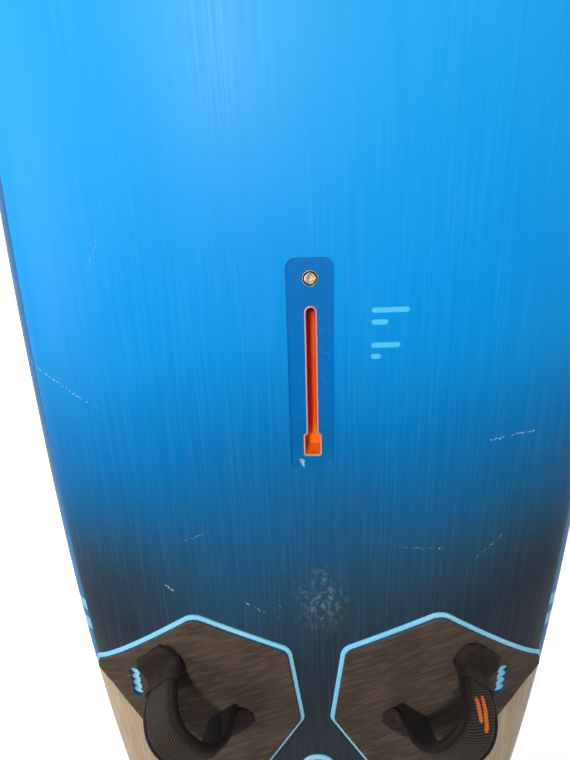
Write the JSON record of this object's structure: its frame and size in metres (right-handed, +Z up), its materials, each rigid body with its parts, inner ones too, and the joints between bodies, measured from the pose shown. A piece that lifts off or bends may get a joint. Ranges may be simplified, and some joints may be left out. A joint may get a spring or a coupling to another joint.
{
  "type": "windsurf board",
  "caption": "Windsurf board with a sandwich hull, deck mast track, air vent, layered foam deck pads, padded foot straps and a bolted tail fin.",
  "frame": {"origin": "on the flat of the hull's bottom, straight under the middle of the mast track slot", "axes": "+X towards the nose along the board's length, +Y to port, +Z up out of the deck"},
  "size_m": [2.38, 0.69, 0.6104],
  "materials": {
    "deck_blue": "satin painted laminate, light blue forward fading to dark navy aft, with fine lengthwise brushing and scratches",
    "bottom_white": "gloss white laminate",
    "core_foam": "expanded polystyrene foam",
    "dense_foam": "high density PVC foam",
    "track_orange": "moulded orange plastic with a pale lip",
    "black_plastic": "moulded black plastic",
    "seal_rubber": "matte rubber",
    "brass": "machined brass, lightly tarnished",
    "steel": "stainless steel",
    "fin_gloss": "polished moulded laminate",
    "pad_cyan": "smooth EVA foam",
    "pad_dark": "brushed EVA foam with fine diagonal grooves",
    "neoprene": "neoprene and ribbed knit",
    "webbing": "woven polyester webbing"
  },
  "bodies": {
    "board": {"deck_skin": "deck_blue", "bottom_skin": "bottom_white", "foam_core": "core_foam", "mast_track_box": "track_orange", "mast_block": "dense_foam", "vent_housing": "black_plastic", "fin_block": "dense_foam", "fin_box": "black_plastic", "fin": "fin_gloss", "fin_barrel_nut": "brass", "fin_washer": "steel", "fin_bolt": "steel", "front_left_pad_base": "pad_cyan", "front_left_pad_top": "pad_dark", "front_right_pad_base": "pad_cyan", "front_right_pad_top": "pad_dark", "rear_pad_base": "pad_cyan", "rear_pad_top": "pad_dark", "front_left_insert_outer": "black_plastic", "front_left_insert_inner": "black_plastic", "front_left_insert_spare": "black_plastic", "front_right_insert_outer": "black_plastic", "front_right_insert_inner": "black_plastic", "front_right_insert_spare": "black_plastic", "rear_insert_left": "black_plastic", "rear_insert_right": "black_plastic", "front_left_strap_plate_outer": "black_plastic", "front_left_strap_screw_outer": "steel", "front_left_strap_cap_outer": "neoprene", "front_left_strap_plate_inner": "black_plastic", "front_left_strap_screw_inner": "steel", "front_left_strap_cap_inner": "neoprene", "front_right_strap_plate_outer": "black_plastic", "front_right_strap_screw_outer": "steel", "front_right_strap_cap_outer": "neoprene", "front_right_strap_plate_inner": "black_plastic", "front_right_strap_screw_inner": "steel", "front_right_strap_cap_inner": "neoprene", "rear_strap_plate_outer": "black_plastic", "rear_strap_screw_outer": "steel", "rear_strap_cap_outer": "neoprene", "rear_strap_plate_inner": "black_plastic", "rear_strap_screw_inner": "steel", "rear_strap_cap_inner": "neoprene"},
    "vent_seal": {"vent_o_ring": "seal_rubber"},
    "vent_screw": {"vent_screw": "brass"},
    "front_left_strap": {"front_left_strap_foam": "neoprene", "front_left_strap_webbing": "webbing", "front_left_strap_sleeve": "neoprene"},
    "front_right_strap": {"front_right_strap_foam": "neoprene", "front_right_strap_webbing": "webbing", "front_right_strap_sleeve": "neoprene"},
    "rear_strap": {"rear_strap_foam": "neoprene", "rear_strap_webbing": "webbing", "rear_strap_sleeve": "neoprene"}
  },
  "joints": [
    {"name": "vent_seal_travel", "type": "slide", "parent": "board", "child": "vent_seal", "axis": [0, 0, 1], "range_m": [0, 0.002]},
    {"name": "vent_screw_turn", "type": "hinge", "parent": "vent_seal", "child": "vent_screw", "pos_m": [0.1163, 0, 0.11], "axis": [0, 0, 1], "range_deg": [0, 720]},
    {"name": "front_left_strap_lean", "type": "hinge", "parent": "board", "child": "front_left_strap", "pos_m": [-0.45277, 0.17174, 0.15426], "axis": [-0.7429, -0.6688, 0.03], "range_deg": [-35, 35]},
    {"name": "front_right_strap_lean", "type": "hinge", "parent": "board", "child": "front_right_strap", "pos_m": [-0.45277, -0.17174, 0.15426], "axis": [-0.7429, 0.6688, 0.03], "range_deg": [-35, 35]},
    {"name": "rear_strap_lean", "type": "hinge", "parent": "board", "child": "rear_strap", "pos_m": [-0.98795, 0, 0.13251], "axis": [0, -1, 0], "range_deg": [-35, 35]}
  ],
  "couplings": [
    {"joint": "vent_screw_turn", "follows": "vent_seal_travel", "rad_per_m": 6283.2}
  ]
}
